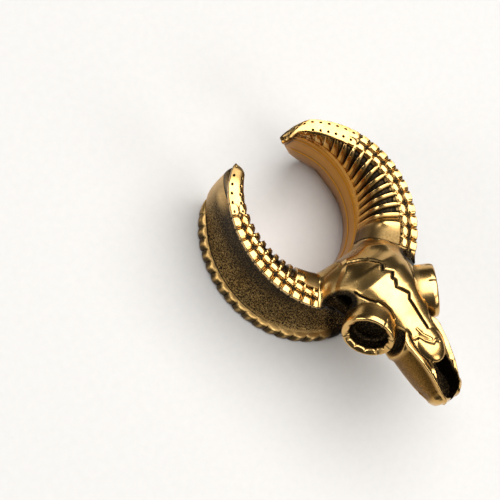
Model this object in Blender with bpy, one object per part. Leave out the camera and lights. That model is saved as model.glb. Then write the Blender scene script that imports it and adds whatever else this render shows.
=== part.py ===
"""A saddle hanger cast in brass: a ram's skull whose two horns curl round into the letter C.

The axis of the C is Z, the skull points along -Y and the mouth between the horn tips along +Y.
The left and right horns are the skull's own, so the left one is at +X.
Sizes are in millimetres, angles in degrees from the skull round to the mouth.
"""

import math
from dataclasses import dataclass

import bmesh
import bpy
import numpy as np
from mathutils import Matrix, Vector

MM = 0.001
GAP = 0.3  # between two nodes that touch


@dataclass(frozen=True)
class Oval:
    """An ellipse about a point on the Y axis."""

    centre_y: float
    half_width: float
    half_length: float

    def radius(self, angle):
        """Distance from the axis of the C to the ellipse at an angle."""
        s, c = math.sin(math.radians(angle)), math.cos(math.radians(angle))
        square = (s / self.half_width) ** 2 + (c / self.half_length) ** 2
        linear = c * self.centre_y / self.half_length**2
        rest = (self.centre_y / self.half_length) ** 2 - 1
        return (-linear + math.sqrt(linear**2 - square * rest)) / square


@dataclass(frozen=True)
class Side:
    """One arm of the C: a horn in front and the lobe wall behind it."""

    name: str
    sign: int
    front: Oval
    front_heights: tuple
    end_front: float  # angle of the arm's end at the front
    end_back: float  # and at the back
    end_rounding: float  # angle of the rounded end
    tuck: float  # how far the front edge draws in at the tip
    tip_share: float  # how near the inner side the tip closes, 0 at the outer one
    ribs: int
    first_gap: float  # where the first gap between ribs lies, in ribs from the root


LEFT = Side("left", 1, Oval(-0.9, 14.85, 15.75), (13.6, 14.7, 12.6), 169.0, 139.0, 16.0, 1.9, 0.3, 19, -0.12)
RIGHT = Side("right", -1, Oval(0.3, 13.7, 15.2), (14.2, 15.6, 14.8), 152.0, 151.0, 4.5, 0.4, 0.5, 15, 0.47)
TUCK_LENGTH = 24.0

# The wall behind the horns: lip under the ribs, waist of the lobe groove, back rim
LIP = Oval(2.6, 9.5, 10.6)
LIP_HEIGHTS = (8.1, 9.2, 11.6)
LIP_ANGLES = (38.0, 150.0)
WAIST = Oval(1.1, 11.4, 12.8)
BACK_RIM = Oval(-0.9, 13.9, 15.4)
BACK_INNER = Oval(2.5, 11.3, 10.4)
BACK_FLARE = 1.6  # the back edge of the wall spreads by this much towards the ends
RIM_HEIGHT = 1.7
SIDE_FACE = 1.5  # height of the bead row's outer side
LOBE_FADE = 26.0  # angle over which the groove fades out before the end
LOBE_BULGE = 0.5
WALL_END_SHARE = 0.7  # a wall's end closes on a line this far from the outside towards the inside
TIP_SWELL = 0.3  # how far an end stands out past the front edge at most
END_LINE = 0.78  # and at a horn's tip the line takes this share of the section, from its foot
CORNER_ANGLE = 8.0  # rounding of the ends at the back
CORNER_HEIGHT = 4.0
LEAST_WALL = 0.9
LEAST_FACE = 1.3  # least width of the ribbed and beaded face
LENGTH_MODELLED = 0.999  # share of an arm's length at which its closed end stands
THINNEST = 0.997  # share of the length at which the rounding stops thinning it

# Horn ornament
ROOT_ANGLE = 38.0
RIB_RELIEF = 0.6
BEAD_RELIEF = 0.45
VALLEY_RELIEF = 0.5  # share of the beads' relief that the valleys between rows have
BEADLESS = (0.45, 0.75)  # shares of the horn's length between which beads and ribs fade
FADED = 0.25  # relief that is left there
RIB_LEAN = 0.7  # power by which the relief turns from inwards on the flank to downwards on top
RIB_SLOPE = 0.9
STEPS = (0.0, 0.25, 0.75)  # stations within each rib or bead
NEAREST = 0.1  # least distance of a station from either end, in ribs
FACE_STATIONS = (0.0, 0.12, 0.25, 0.38, 0.5, 0.6, 0.68, 0.74, 0.82, 0.87, 0.94, 1.0)
VALLEYS = (6, 9)  # stations between ribs and inner beads, and between the two bead rows

# Beads round the back rim
RIM_BEADS = 19
RIM_BEAD_RELIEF = 0.35
WALL_POINTS = 8

# The collar under the head
COLLAR_STEPS = 16
COLLAR_RELIEF = 0.4
COLLAR_RISE = 3.0  # how far its top climbs the head
RISE_ANGLES = (18.0, 38.0)
COLLAR_SINK = GAP / 12  # radius times angle that the collar keeps back from each horn root

# Skull stations from the back of the head to the muzzle:
# y, half width, top, level of the greatest width, underside
SKULL_STATIONS = (
    (-8.6, 3.2, 16.4, 12.5, 9.4),
    (-9.6, 4.9, 18.2, 12.5, 9.2),
    (-11.0, 5.9, 19.9, 13.0, 9.0),
    (-13.0, 6.2, 20.9, 14.2, 9.0),
    (-15.5, 5.7, 21.3, 15.5, 10.0),
    (-18.5, 4.9, 21.0, 16.2, 11.6),
    (-21.0, 4.5, 20.5, 16.2, 12.0),
    (-23.5, 4.5, 20.2, 15.8, 12.0),
    (-26.0, 4.2, 19.9, 15.5, 11.9),
    (-28.5, 3.95, 19.0, 15.5, 11.9),
    (-30.2, 3.6, 18.0, 15.4, 12.0),
    (-31.6, 3.05, 17.2, 15.2, 12.0),
    (-32.6, 2.4, 16.4, 15.0, 12.2),
    (-33.2, 1.4, 15.6, 14.6, 12.6),
)
SKULL_POINTS = 28
SKULL_ROUNDNESS = 2.3

# Eye sockets: oval tubes that stand out sideways
SOCKET_CENTRE = (6.8, -18.8, 17.6)
SOCKET_YAW = 29.0
SOCKET_LIFT = 20.0
SOCKET_LENGTH = 4.4
SOCKET_OUTER = (4.0, 4.0)
SOCKET_WALL = 1.1
SOCKET_DEPTH = 2.4
SOCKET_SIDES = 28
RECESS_SCALE = 1.3  # the hollow round a socket, beside the socket's own size
RECESS_LEVEL = -1.9  # its floor, from the rim

# Nose: y, half width and floor of the opening, and the round end of the nasal bones over it
NOSE_STATIONS = (
    (-26.3, 0.3, 15.4),
    (-27.2, 1.35, 15.2),
    (-28.8, 1.5, 14.7),
    (-30.2, 1.85, 14.3),
    (-31.6, 1.7, 13.9),
    (-32.5, 1.1, 13.7),
    (-32.9, 0.25, 13.5),
    (-33.7, 0.25, 13.3),
)
NOSE_TOP = 22.0
NOSE_BONE = ((0.0, -23.9, 19.2), (2.35, 3.6, 1.25))

# Hollow of the temple, an ellipsoid: centre, half lengths along X, Y and Z
TEMPLE_PIT = ((6.6, -12.9, 14.0), (2.0, 1.9, 4.6))
PIT_SEGMENTS = 16
PIT_RINGS = 10
CUT_REACH = 3.0  # how far a cutter stands out past the rim of a socket
SHARP_FROM = 35.0

BRASS = (0.78, 0.56, 0.27, 1.0)
PATINA = (0.16, 0.12, 0.08, 1.0)


def clear_scene():
    for thing in list(bpy.data.objects):
        bpy.data.objects.remove(thing, do_unlink=True)


def new_collection(name):
    collection = bpy.data.collections.new(name)
    bpy.context.scene.collection.children.link(collection)
    return collection


def metal(name, colour, roughness):
    material = bpy.data.materials.new(name)
    material.use_nodes = True
    shader = material.node_tree.nodes["Principled BSDF"]
    shader.inputs["Base Color"].default_value = colour
    shader.inputs["Metallic"].default_value = 1.0
    shader.inputs["Roughness"].default_value = roughness
    return material


def smooth_step(value, start, end):
    t = min(max((value - start) / (end - start), 0.0), 1.0)
    return t * t * (3 - 2 * t)


def through(values, t):
    """The parabola with three given values at t = 0, 0.5 and 1."""
    start, middle, end = values
    return start * (1 - t) * (1 - 2 * t) + 4 * middle * t * (1 - t) + end * t * (2 * t - 1)


def bezier(start, control, end, count):
    t = np.linspace(0.0, 1.0, count)[:, None]
    start, control, end = map(np.array, (start, control, end))
    return (1 - t) ** 2 * start + 2 * t * (1 - t) * control + t**2 * end


def cubic(start, leave, arrive, end, places):
    t = np.array(places)[:, None]
    start, leave, arrive, end = map(np.array, (start, leave, arrive, end))
    return (1 - t) ** 3 * start + 3 * t * (1 - t) ** 2 * leave + 3 * t**2 * (1 - t) * arrive + t**3 * end


def place(section, angle, sign):
    """Points (distance from the axis, height) turned to an angle of the C."""
    s, c = math.sin(math.radians(angle)), math.cos(math.radians(angle))
    radius, height = section[:, 0], section[:, 1]
    return np.stack([sign * radius * s, -radius * c, height], axis=1)


def front_point(side, angle):
    along = max(angle - ROOT_ANGLE, 0.0) / (side.end_front - ROOT_ANGLE)
    tuck = side.tuck * smooth_step(angle, side.end_front - TUCK_LENGTH, side.end_front)
    return side.front.radius(angle) - tuck, through(side.front_heights, along)


def lip_point(side, angle):
    first, last = LIP_ANGLES
    radius = min(LIP.radius(angle), front_point(side, angle)[0] - LEAST_FACE)
    return radius, through(LIP_HEIGHTS, max(angle - first, 0.0) / (last - first))


def end_angle(side, height):
    """Where an arm ends at a height: a slanted line with a rounded corner at the back."""
    top = side.front_heights[2]
    line = side.end_back + (side.end_front - side.end_back) * height / top
    return line - CORNER_ANGLE * max(1.0 - height / CORNER_HEIGHT, 0.0) ** 2


def lobe_fade(side, angle):
    """0 along the groove, 1 where the arm ends without one."""
    end = min(side.end_front, side.end_back)
    return smooth_step(angle, end - LOBE_FADE, end)


def waist_point(side, angle):
    lip_radius, lip_height = lip_point(side, angle)
    front_radius = front_point(side, angle)[0]
    straight = (front_radius + BACK_RIM.radius(angle)) / 2 + LOBE_BULGE
    radius = WAIST.radius(angle)
    radius = min(radius + (straight - radius) * lobe_fade(side, angle), front_radius + TIP_SWELL)
    return max(radius, lip_radius + LEAST_WALL), lip_height


def bead_wave(turns):
    """Rounded beads with a narrow gap between them: 0 in a gap, 1 on a crest."""
    return math.sqrt(abs(math.sin(math.pi * turns)))


def horn_section(side, angle, relief):
    """Two chains of (radius, height) from the cut under the horn up to its front edge.

    The first climbs the ribbed flank and crosses the top with its two bead rows, the second
    climbs the groove and the side of the bead row. The relief, 0 to 1, raises ribs and beads.
    """
    lip_r, lip_z = lip_point(side, angle)
    top_r, top_z = front_point(side, angle)
    waist_r, waist_z = waist_point(side, angle)
    width = top_r - lip_r
    corner = (lip_r - 0.02 * width, top_z + 0.1)
    shoulder = (lip_r + 0.25 * width, top_z + 0.5)
    face = cubic((lip_r, lip_z + GAP), corner, shoulder, (top_r, top_z), FACE_STATIONS)
    depth = np.full(len(face), RIB_RELIEF)
    depth[0] = 0.0
    depth[VALLEYS[0] :] = BEAD_RELIEF
    drop = depth * (1.0 - relief)
    drop[list(VALLEYS)] = np.maximum(drop[list(VALLEYS)], VALLEY_RELIEF * BEAD_RELIEF)
    lean = np.linspace(1.0, 0.0, len(face)) ** RIB_LEAN
    face += drop[:, None] * np.stack([RIB_SLOPE * lean, lean - 1.0], axis=1)
    low = (top_r - 0.35, top_z - SIDE_FACE)
    bend = (waist_r + 0.1, lip_z + 0.55 * (top_z - lip_z))
    groove = bezier((waist_r, waist_z + GAP), bend, low, len(face) - 1)
    edge = np.array([[top_r + 0.1 * relief, top_z - 0.6]])
    return face, np.concatenate([groove, edge])


def wall_section(side, angle, relief):
    """Two chains from the back face up to the cut under the horn: inner wall, then rim and groove."""
    lip_r, lip_z = lip_point(side, angle)
    waist_r, waist_z = waist_point(side, angle)
    fade = lobe_fade(side, angle)
    rim_r = BACK_RIM.radius(angle)
    inner_r = BACK_INNER.radius(angle) + BACK_FLARE * smooth_step(angle, 105.0, 140.0)
    inner_r = min(inner_r, rim_r - LEAST_WALL)
    neck_r = min(lip_r, waist_r - LEAST_WALL)
    inner = bezier((inner_r, 0.0), (neck_r - 0.4, 0.5 * lip_z), (neck_r, lip_z), WALL_POINTS)
    bump = RIM_BEAD_RELIEF * relief * (1.0 - fade)
    rim = [
        (rim_r - 0.5, 0.0),
        (rim_r + bump - 0.1, 0.35),
        (rim_r + bump, 0.5 * RIM_HEIGHT),
        (rim_r - 0.3 + 0.5 * bump, RIM_HEIGHT),
    ]
    bend = (waist_r + 0.1, 0.4 * waist_z)
    foot = (rim_r - 0.9 * (1.0 - fade), RIM_HEIGHT + 0.15)
    groove = bezier(foot, bend, (waist_r, waist_z), WALL_POINTS - len(rim))
    return inner, np.concatenate([np.array(rim), groove])


def closing(along, length):
    """How much of its thickness an arm keeps towards its rounded end."""
    into_end = max(along - (1.0 - length), 0.0) / length
    return math.sqrt(1.0 - into_end**2)


def arm_ring(side, section, start, along, size, share=WALL_END_SHARE, line=1.0):
    """A section at a share of the arm's length, every point turned as far as its own height asks."""
    chains = []
    for chain in range(2):
        points = []
        for index in range(len(section(side, start)[chain])):
            angle = start + along * (end_angle(side, 0.5 * side.front_heights[2]) - start)
            for _ in range(2):
                height = section(side, angle)[chain][index, 1]
                angle = start + along * (end_angle(side, height) - start)
            points.append((angle, *section(side, angle)[chain][index]))
        chains.append(np.array(points))
    middle = share * chains[0] + (1.0 - share) * chains[1]
    numbers = np.arange(len(middle))
    middle = np.stack([np.interp(line * numbers, numbers, column) for column in middle.T], axis=1)
    placed = []
    for chain in chains:
        thin = middle + (chain - middle) * size
        placed.append(np.array([place(p[None, 1:], p[0], side.sign)[0] for p in thin]))
    return tuple(placed)


def stations(count, first_gap=0.0):
    """Numbers of ribs or beads from the root, with a few stations in each."""
    inner = [whole + part + first_gap for whole in range(-1, count + 1) for part in STEPS]
    return [0.0] + [station for station in inner if NEAREST < station < count - NEAREST] + [count]


def horn_rings(side):
    """Sections along a horn, closing on its rounded tip."""
    rings = []
    length = side.end_rounding / (side.end_front - ROOT_ANGLE)
    for station in stations(side.ribs, side.first_gap):
        along = LENGTH_MODELLED * station / side.ribs
        strength = 1.0 - (1.0 - FADED) * smooth_step(along, *BEADLESS)
        relief = 1.0 - strength * (1.0 - bead_wave(station - side.first_gap))
        size = closing(min(along, THINNEST), length)

        def section(side, angle, relief=relief):
            return horn_section(side, angle, relief)

        rings.append(arm_ring(side, section, ROOT_ANGLE, along, size, side.tip_share, END_LINE))
    return rings


def wall_rings(side):
    """Sections of the lobe wall, from the split under the head to its rounded end."""
    rings = []
    start = math.degrees(GAP / 2 / LIP.radius(0.0))
    length = side.end_rounding / (side.end_front - start)
    for station in stations(RIM_BEADS):
        along = LENGTH_MODELLED * station / RIM_BEADS
        size = closing(min(along, THINNEST), length)

        def section(side, angle, relief=bead_wave(station)):
            return wall_section(side, angle, relief)

        rings.append(arm_ring(side, section, start, along, size))
    return rings


def collar_rings():
    """The bony collar under the head, which joins the skull to both horn roots."""
    rings = []
    for step in range(COLLAR_STEPS + 1):
        angle = (ROOT_ANGLE - math.degrees(COLLAR_SINK)) * (2 * step / COLLAR_STEPS - 1)
        side = LEFT if angle >= 0 else RIGHT
        other = RIGHT if angle >= 0 else LEFT
        share = 0.5 - 0.5 * smooth_step(abs(angle), 0.0, ROOT_ANGLE)
        face, back = horn_section(side, abs(angle), COLLAR_RELIEF)
        face_other, back_other = horn_section(other, abs(angle), COLLAR_RELIEF)
        face = face + share * (face_other - face)
        back = back + share * (back_other - back)
        rise = COLLAR_RISE * (1.0 - smooth_step(abs(angle), *RISE_ANGLES))
        for chain in (face, back):
            low, high = chain[0, 1], face[-1, 1]
            chain[:, 1] += rise * (chain[:, 1] - low) / (high - low)
        sign = 1 if angle >= 0 else -1
        rings.append((place(face, abs(angle), sign), place(back, abs(angle), sign)))
    return rings


def skull_rings():
    """Sections of the skull, round above and below the level of its greatest width."""
    table = np.array(SKULL_STATIONS)
    rings = []
    turn = np.linspace(0.0, 2 * math.pi, SKULL_POINTS, endpoint=False)
    power = 2.0 / SKULL_ROUNDNESS
    x = np.sign(np.cos(turn)) * np.abs(np.cos(turn)) ** power
    z = np.sign(np.sin(turn)) * np.abs(np.sin(turn)) ** power
    ys = refine(table[:, 0], 2)
    for y in ys:
        half, top, level, under = (np.interp(-y, -table[:, 0], table[:, i]) for i in range(1, 5))
        height = np.where(z > 0, level + z * (top - level), level + z * (level - under))
        rings.append(np.stack([half * x, np.full_like(x, y), height], axis=1))
    return rings


def refine(values, parts):
    """The values with each step between two of them divided into equal parts."""
    places = np.arange(0, len(values) - 1 + 1e-9, 1.0 / parts)
    return np.interp(places, np.arange(len(values)), values)


def finished(name, builder, collection, material):
    """An object from a mesh builder, shaded smooth, and drawn as a wire in a collection that is not rendered."""
    mesh = bpy.data.meshes.new(name)
    bmesh.ops.recalc_face_normals(builder, faces=builder.faces)
    builder.to_mesh(mesh)
    builder.free()
    mesh.shade_smooth()
    mesh.set_sharp_from_angle(angle=math.radians(SHARP_FROM))
    mesh.materials.append(material)
    thing = bpy.data.objects.new(name, mesh)
    collection.objects.link(thing)
    if collection.hide_render:
        thing.hide_render = True
        thing.display_type = "WIRE"
    return thing


def loft(name, rings, collection, material):
    """A closed solid through sections; a section is a ring, or two chains that meet at their ends."""
    builder = bmesh.new()
    chained = isinstance(rings[0], tuple)
    loops = [np.concatenate([r[0], r[1][::-1]]) if chained else r for r in rings]
    rows = [[builder.verts.new(point * MM) for point in loop] for loop in loops]
    size = len(loops[0])
    for row, following in zip(rows[:-1], rows[1:]):
        for i in range(size):
            j = (i + 1) % size
            builder.faces.new((row[i], row[j], following[j], following[i]))
    for row in (rows[0], rows[-1]):
        if chained:
            for i in range(size // 2 - 1):
                builder.faces.new((row[i], row[i + 1], row[size - 2 - i], row[size - 1 - i]))
        else:
            builder.faces.new(row)
    return finished(name, builder, collection, material)


def socket_axis(sign):
    """The unit vector out of an eye socket: sideways, a little forward and a little up."""
    yaw, lift = math.radians(SOCKET_YAW), math.radians(SOCKET_LIFT)
    return Vector((sign * math.cos(lift) * math.cos(yaw), -math.cos(lift) * math.sin(yaw), math.sin(lift)))


def socket_tube(name, sign, half_axes, start, end, collection, material):
    """An oval cylinder along a socket's axis, between two distances from the rim's centre."""
    axis = socket_axis(sign)
    along = axis.cross(Vector((0.0, 0.0, 1.0))).normalized()
    up = along.cross(axis)
    centre = Vector(SOCKET_CENTRE) * MM
    centre.x *= sign
    builder = bmesh.new()
    bmesh.ops.create_cone(
        builder,
        cap_ends=True,
        segments=SOCKET_SIDES,
        radius1=1.0,
        radius2=1.0,
        depth=1.0,
    )
    size = Vector((half_axes[1], half_axes[0], end - start)) * MM
    bmesh.ops.scale(builder, vec=size, verts=builder.verts)
    turned = Matrix((up, along, axis)).transposed().to_4x4()
    middle = centre + axis * (start + end) / 2 * MM
    bmesh.ops.transform(builder, matrix=Matrix.Translation(middle) @ turned, verts=builder.verts)
    return finished(name, builder, collection, material)


def boolean(target, tool, operation):
    """Joins or cuts with another object; the tool of a join is used up."""
    modifier = target.modifiers.new(operation.title(), "BOOLEAN")
    modifier.operation = operation
    modifier.object = tool
    modifier.solver = "EXACT"
    graph = bpy.context.evaluated_depsgraph_get()
    result = bpy.data.meshes.new_from_object(target.evaluated_get(graph))
    target.modifiers.remove(modifier)
    target.data = result
    bpy.data.objects.remove(tool, do_unlink=True)


def ellipsoid(name, centre, half_lengths, collection, material):
    builder = bmesh.new()
    bmesh.ops.create_uvsphere(builder, u_segments=PIT_SEGMENTS, v_segments=PIT_RINGS, radius=1.0)
    bmesh.ops.scale(builder, vec=Vector(half_lengths) * MM, verts=builder.verts)
    bmesh.ops.translate(builder, vec=Vector(centre) * MM, verts=builder.verts)
    return finished(name, builder, collection, material)


def nose_opening(collection, material):
    """The cutter of the nose: upright walls from a sloping floor, as wide as the opening."""
    rings = []
    for y, half_width, floor in NOSE_STATIONS:
        corners = ((-half_width, y, floor), (half_width, y, floor), (half_width, y, NOSE_TOP))
        rings.append(np.array([*corners, (-half_width, y, NOSE_TOP)]))
    return loft("nose_opening", rings, collection, material)


def make_skull(parts, cutters, bone, dark):
    """The braincase with its collar and hollows, and the two eye sockets in their seats."""
    skull = loft("braincase", skull_rings(), parts, bone)
    boolean(skull, ellipsoid("nose_bone", *NOSE_BONE, parts, bone), "UNION")
    boolean(skull, loft("collar", collar_rings(), parts, bone), "UNION")
    boolean(skull, nose_opening(cutters, dark), "DIFFERENCE")
    for sign in (1, -1):
        centre, half_lengths = TEMPLE_PIT
        centre = (sign * centre[0], centre[1], centre[2])
        boolean(skull, ellipsoid("temple_pit", centre, half_lengths, cutters, dark), "DIFFERENCE")
    for sign, name in ((1, "left"), (-1, "right")):
        around = tuple(axis * RECESS_SCALE for axis in SOCKET_OUTER)
        recess = socket_tube("recess", sign, around, RECESS_LEVEL, CUT_REACH, cutters, dark)
        boolean(skull, recess, "DIFFERENCE")
        outer = tuple(axis + GAP for axis in SOCKET_OUTER)
        seat = socket_tube("seat", sign, outer, -SOCKET_LENGTH - GAP, CUT_REACH, cutters, dark)
        boolean(skull, seat, "DIFFERENCE")
        socket = socket_tube(f"eye_socket_{name}", sign, SOCKET_OUTER, -SOCKET_LENGTH, 0.0, parts, bone)
        hole = tuple(axis - SOCKET_WALL for axis in SOCKET_OUTER)
        boolean(socket, socket_tube("hole", sign, hole, -SOCKET_DEPTH, CUT_REACH, cutters, dark), "DIFFERENCE")


def centre_on_floor(parts):
    """Hangs all parts on an empty and moves it, so that their common box stands centred on Z."""
    corners = np.array([vertex.co for thing in parts.objects for vertex in thing.data.vertices])
    middle = (corners.min(axis=0) + corners.max(axis=0)) / 2
    axis = bpy.data.objects.new("axis_of_the_c", None)
    axis.location = (-middle[0], -middle[1], 0.0)
    for thing in parts.objects:
        thing.parent = axis
    parts.objects.link(axis)


def main():
    clear_scene()
    parts = new_collection("ram_skull_saddle_hanger")
    cutters = new_collection("cutters")
    cutters.hide_render = True
    bone = metal("polished_brass", BRASS, 0.25)
    dark = metal("blackened_brass", PATINA, 0.6)
    make_skull(parts, cutters, bone, dark)
    for side in (LEFT, RIGHT):
        loft(f"horn_{side.name}", horn_rings(side), parts, bone)
        loft(f"saddle_{side.name}", wall_rings(side), parts, bone)
    centre_on_floor(parts)


main()
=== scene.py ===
"""The looks of a saddle ear hanger: a ram's skull whose horns curl into a C, cast in antiqued brass.

Shapes are worked out in millimetres about the axis of the C, the head along -Y, the mouth between
the horn tips along +Y and the skull's own left at +X. Angles are degrees from the head round to
the mouth. Each piece is moved to the frame's place as it goes into its mesh.
"""

import logging
import math
from collections.abc import Callable, Sequence
from dataclasses import dataclass, field
from enum import Enum
from functools import reduce

import bpy
import numpy as np
from mathutils import Matrix, Vector


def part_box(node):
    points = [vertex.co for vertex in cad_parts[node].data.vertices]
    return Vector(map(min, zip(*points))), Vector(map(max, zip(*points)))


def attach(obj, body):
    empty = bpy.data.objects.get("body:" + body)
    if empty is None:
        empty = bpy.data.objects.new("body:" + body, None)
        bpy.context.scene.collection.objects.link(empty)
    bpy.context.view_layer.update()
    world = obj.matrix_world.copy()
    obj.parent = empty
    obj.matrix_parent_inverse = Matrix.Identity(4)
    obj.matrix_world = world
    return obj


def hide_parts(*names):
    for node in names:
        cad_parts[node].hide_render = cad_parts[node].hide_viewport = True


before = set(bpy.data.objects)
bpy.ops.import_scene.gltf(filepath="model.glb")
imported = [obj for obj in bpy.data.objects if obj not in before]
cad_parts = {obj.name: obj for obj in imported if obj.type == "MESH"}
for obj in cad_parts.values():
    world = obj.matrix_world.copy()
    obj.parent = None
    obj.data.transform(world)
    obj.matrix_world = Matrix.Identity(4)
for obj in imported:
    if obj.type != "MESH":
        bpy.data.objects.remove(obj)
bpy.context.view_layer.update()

MM = 0.001
# what each point tells the brass: how black it is left, by patina and by painted shade, with painted
# highlights left light; how coarsely blasted; how much amber it shows, as amber tone and as painted
# reflection
MARKS = ("patina_and_painted_light", "grain", "amber_tone_and_painted_reflection")

Array = np.ndarray
Curve = Callable[[Array, Array], tuple[Array, Array]]
Route = tuple[tuple[float, ...], ...]
Thing = bpy.types.Object
Tree = bpy.types.NodeTree
Link = bpy.types.NodeSocket

log = logging.getLogger("ram_skull_hanger")


def smooth_step(value: Array, start: float, end: float) -> Array:
    """A soft step from 0 at start to 1 at end: 3t^2 - 2t^3 of the share t between them."""
    t = np.clip((value - start) / (end - start), 0.0, 1.0)
    return t * t * (3.0 - 2.0 * t)


def between(value: Array, rise: tuple[float, float], fall: tuple[float, float]) -> Array:
    """A soft step up between the two values of rise, and down again between those of fall."""
    return smooth_step(value, *rise) * (1.0 - smooth_step(value, *fall))


def bump(value: Array, centre: float, width: float) -> Array:
    """A bell of height 1 and the given half width: e to the minus square of the distance."""
    return np.exp(-(((value - centre) / width) ** 2))


def pillow(value: Array) -> Array:
    """The height of a round cushion at a share of its half width: the root of 1 - x^2."""
    return np.sqrt(np.clip(1.0 - value**2, 0.0, 1.0))


def phase(value: Array) -> Array:
    """The place within one of a row's repeats, from -1 at its start to 1 at its end."""
    return value % 1.0 * 2 - 1


def most(*values: Array) -> Array:
    """The largest of several values at each place."""
    return reduce(np.maximum, values)


def through(values: tuple[float, float, float], t: Array) -> Array:
    """The parabola that has three given values at t = 0, 0.5 and 1."""
    start, middle, end = values
    return start * (1 - t) * (1 - 2 * t) + 4 * middle * t * (1 - t) + end * t * (2 * t - 1)


def bezier(controls: Sequence[tuple[Array, Array]], t: Array) -> tuple[Array, Array]:
    """A Bezier curve in the plane of radius and height.

    Args:
        controls: its control points, each a pair of arrays.
        t: the places along it, 0 to 1.

    Returns:
        Radius and height, each the sum of the controls weighted by the Bernstein polynomials.
    """
    last = len(controls) - 1
    weights = [math.comb(last, k) * t**k * (1.0 - t) ** (last - k) for k in range(last + 1)]
    radius = sum(w * c[0] for w, c in zip(weights, controls))
    height = sum(w * c[1] for w, c in zip(weights, controls))
    return radius, height


def to_line(points: Array, route: Sequence[tuple[float, ...]]) -> Array:
    """The distance from each point to a broken line.

    Args:
        points: an array whose last axis is the coordinates.
        route: the corners of the line, with as many coordinates.

    Returns:
        The least, over the line's pieces, of the distance to the nearest place on the piece.
    """
    nearest = np.full(points.shape[:-1], np.inf)
    for start, end in zip(np.array(route[:-1]), np.array(route[1:])):
        step = end - start
        share = np.clip(((points - start) @ step) / (step @ step), 0.0, 1.0)
        nearest = np.minimum(nearest, np.linalg.norm(points - start - share[..., None] * step, axis=-1))
    return nearest


@dataclass
class Skin:
    """A closed surface as a grid in millimetres: every row is a closed ring of points.

    Where zipped, each end is closed by joining the two halves of its ring, and otherwise by a
    fan round its middle. Marks are numbers for each point, which the material reads.
    """

    points: Array
    zipped: bool = False
    marks: dict[str, Array] = field(default_factory=dict)

    def normals(self) -> Array:
        """Unit vectors out of the surface: the cross product of the grid's two steps.

        Returns:
            One vector for each point.
        """
        along = np.gradient(self.points, axis=0)
        around = (np.roll(self.points, -1, axis=1) - np.roll(self.points, 1, axis=1)) / 2
        normal = np.cross(around, along)
        outward = self.points - self.points.mean(axis=1, keepdims=True)
        if (normal * outward).sum() < 0:
            normal = -normal
        return normal / np.maximum(np.linalg.norm(normal, axis=2, keepdims=True), 1e-9)

    def raised(self, height: Array) -> "Skin":
        """The surface with every point moved out by a height, along its normal."""
        return Skin(self.points + height[..., None] * self.normals(), self.zipped, dict(self.marks))

    def sunk(self, centre: Sequence[float], half: Sequence[float]) -> tuple["Skin", Array]:
        """The surface with an ellipsoid cut out of it on both sides of the head.

        Args:
            centre: of the left ellipsoid; the other is its mirror image.
            half: its half lengths along x, y and z.

        Returns:
            The surface with each point inside pushed back along its normal to the ellipsoid's
            far side, at the larger root of its quadratic, and 1 where it was pushed.
        """
        turned = np.sign(self.points[..., :1] + 1e-9) * (1.0, 0.0, 0.0) + (0.0, 1.0, 1.0)
        start = (self.points * turned - centre) / half
        way = -self.normals() * turned / half
        square, middle = (way * way).sum(axis=2), (way * start).sum(axis=2)
        rest = 1.0 - (start * start).sum(axis=2)
        inside = rest > 0
        reach = (-middle + np.sqrt(middle**2 + square * np.maximum(rest, 0.0))) / square
        return self.raised(-np.where(inside, reach, 0.0)), inside.astype(float)

    def hollows(self, reach: int) -> Array:
        """How far each point lies below the mean of its neighbours, in millimetres.

        Args:
            reach: how many grid steps away the neighbours are taken from.

        Returns:
            The distance along the normal, positive in a hollow and negative on a crest.
        """
        mean = np.zeros_like(self.points)
        for step in range(-reach, reach + 1):
            mean += np.roll(self.points, step, axis=1)
        mean /= 2 * reach + 1
        padded = np.concatenate([mean[:1]] * reach + [mean] + [mean[-1:]] * reach)
        rows = len(self.points)
        mean = sum(padded[k : k + rows] for k in range(2 * reach + 1)) / (2 * reach + 1)
        return ((mean - self.points) * self.normals()).sum(axis=2)

    def faces(self) -> tuple[Array, Array, Array]:
        """Its faces and where they lie on a flat map.

        Returns:
            The vertices, with an end's middle point added where it is a fan; the faces as four
            indices, of which a triangle repeats its last; and each corner's place on the map.
        """
        rows, columns = self.points.shape[:2]
        i, j = np.meshgrid(np.arange(rows - 1), np.arange(columns), indexing="ij")
        i, j = i.ravel(), j.ravel()
        k = (j + 1) % columns
        here, next_row = i * columns, (i + 1) * columns
        quads = np.stack([here + j, here + k, next_row + k, next_row + j], 1)
        across = np.stack([j, j + 1, j + 1, j], 1) / columns
        along = np.stack([i, i, i + 1, i + 1], 1) / (rows - 1)
        vertices = self.points.reshape(-1, 3)
        maps = np.stack([across, along], axis=2)
        for row, turned in ((0, True), (rows - 1, False)):
            ring = row * columns + np.arange(columns)
            if self.zipped:
                near, far = ring[: columns // 2], ring[::-1][: columns // 2]
                ends = np.stack([near[:-1], near[1:], far[1:], far[:-1]], 1)
            else:
                middle = np.full(columns, len(vertices))
                vertices = np.concatenate([vertices, self.points[row].mean(axis=0)[None]])
                ends = np.stack([ring, np.roll(ring, -1), middle, middle], 1)
            ends = ends[:, ::-1] if turned else ends
            quads = np.concatenate([quads, ends])
            maps = np.concatenate([maps, np.full((len(ends), 4, 2), float(row > 0))])
        return vertices, quads, maps


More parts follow.
